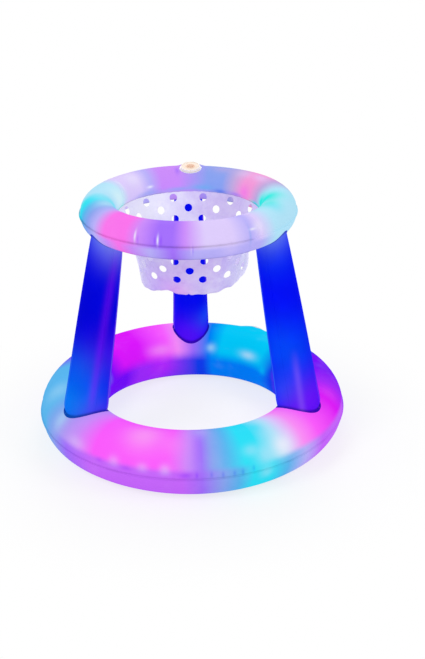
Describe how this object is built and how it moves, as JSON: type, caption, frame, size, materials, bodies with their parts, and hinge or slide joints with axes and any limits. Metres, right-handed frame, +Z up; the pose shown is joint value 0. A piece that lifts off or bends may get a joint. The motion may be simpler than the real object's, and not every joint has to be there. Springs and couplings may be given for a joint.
{
  "type": "floating basketball hoop",
  "caption": "Light-up inflatable floating basketball hoop: ring float base, splayed blue legs, ring rim with a perforated film net, and push-button lights.",
  "frame": {"origin": "on the ground, on the hoop's axis, under the middle of the base float", "axes": "+Z up along the hoop's axis; +Y towards the rear leg, so -Y is the front seen in the picture; +X to the right seen from the front"},
  "size_m": [0.846, 0.846, 0.6945],
  "materials": {
    "clear_film": "gloss",
    "blue_film": "gloss",
    "net_film": "gloss",
    "soft_vinyl": "gloss",
    "ivory_plastic": "satin",
    "button_rubber": "matte",
    "seal_rubber": "matte",
    "black_plastic": "matte",
    "lens_plastic": "gloss",
    "board": "satin",
    "cell_steel": "satin"
  },
  "bodies": {
    "float": {"base_top_panel": "clear_film", "base_bottom_panel": "clear_film", "rim_top_panel": "clear_film", "rim_bottom_panel": "clear_film", "leg_left_outer_panel": "blue_film", "leg_left_inner_panel": "blue_film", "leg_left_foot_patch": "blue_film", "leg_left_head_patch": "blue_film", "leg_right_outer_panel": "blue_film", "leg_right_inner_panel": "blue_film", "leg_right_foot_patch": "blue_film", "leg_right_head_patch": "blue_film", "leg_rear_outer_panel": "blue_film", "leg_rear_inner_panel": "blue_film", "leg_rear_foot_patch": "blue_film", "leg_rear_head_patch": "blue_film", "net": "net_film", "base_light_collar": "soft_vinyl", "base_light_housing": "ivory_plastic", "base_light_carrier": "black_plastic", "base_light_cell_1": "cell_steel", "base_light_cell_2": "cell_steel", "base_light_cell_3": "cell_steel", "base_light_board": "board", "base_light_seal": "seal_rubber", "base_light_lens": "lens_plastic", "base_valve_pad": "soft_vinyl", "rim_light_collar": "soft_vinyl", "rim_light_housing": "ivory_plastic", "rim_light_carrier": "black_plastic", "rim_light_cell_1": "cell_steel", "rim_light_cell_2": "cell_steel", "rim_light_cell_3": "cell_steel", "rim_light_board": "board", "rim_light_seal": "seal_rubber", "rim_light_lens": "lens_plastic", "rim_valve_pad": "soft_vinyl"},
    "base_lid": {"base_light_lid": "ivory_plastic"},
    "base_button": {"base_light_button": "button_rubber"},
    "base_stem": {"base_valve_stem": "soft_vinyl"},
    "base_stopper": {"base_valve_stopper": "soft_vinyl"},
    "rim_lid": {"rim_light_lid": "ivory_plastic"},
    "rim_button": {"rim_light_button": "button_rubber"},
    "rim_stem": {"rim_valve_stem": "soft_vinyl"},
    "rim_stopper": {"rim_valve_stopper": "soft_vinyl"}
  },
  "joints": [
    {"name": "base_lid_twist", "type": "hinge", "parent": "float", "child": "base_lid", "pos_m": [0.20265, 0.351, 0.12166], "axis": [0.403, 0.6981, 0.5919], "range_deg": [0, 45]},
    {"name": "base_button_press", "type": "slide", "parent": "base_lid", "child": "base_button", "axis": [-0.403, -0.6981, -0.5919], "range_m": [0, 0.001], "stiffness_N_per_m": 300},
    {"name": "base_stem_pull", "type": "slide", "parent": "float", "child": "base_stem", "axis": [-0.3975, 0.7476, 0.5321], "range_m": [0, 0.008]},
    {"name": "base_stopper_swing", "type": "hinge", "parent": "base_stem", "child": "base_stopper", "pos_m": [-0.19067, 0.35859, 0.12448], "axis": [0.8829, 0.4695, 0], "range_deg": [0, 150]},
    {"name": "rim_lid_twist", "type": "hinge", "parent": "float", "child": "rim_lid", "pos_m": [0.00789, 0.22589, 0.68565], "axis": [-0.0066, -0.1887, 0.982], "range_deg": [0, 45]},
    {"name": "rim_button_press", "type": "slide", "parent": "rim_lid", "child": "rim_button", "axis": [0.0066, 0.1887, -0.982], "range_m": [0, 0.001], "stiffness_N_per_m": 300},
    {"name": "rim_stem_pull", "type": "slide", "parent": "float", "child": "rim_stem", "axis": [-0.5614, 0.7186, 0.4104], "range_m": [0, 0.008]},
    {"name": "rim_stopper_swing", "type": "hinge", "parent": "rim_stem", "child": "rim_stopper", "pos_m": [-0.17032, 0.218, 0.66666], "axis": [0.788, 0.6157, 0], "range_deg": [0, 150]}
  ]
}
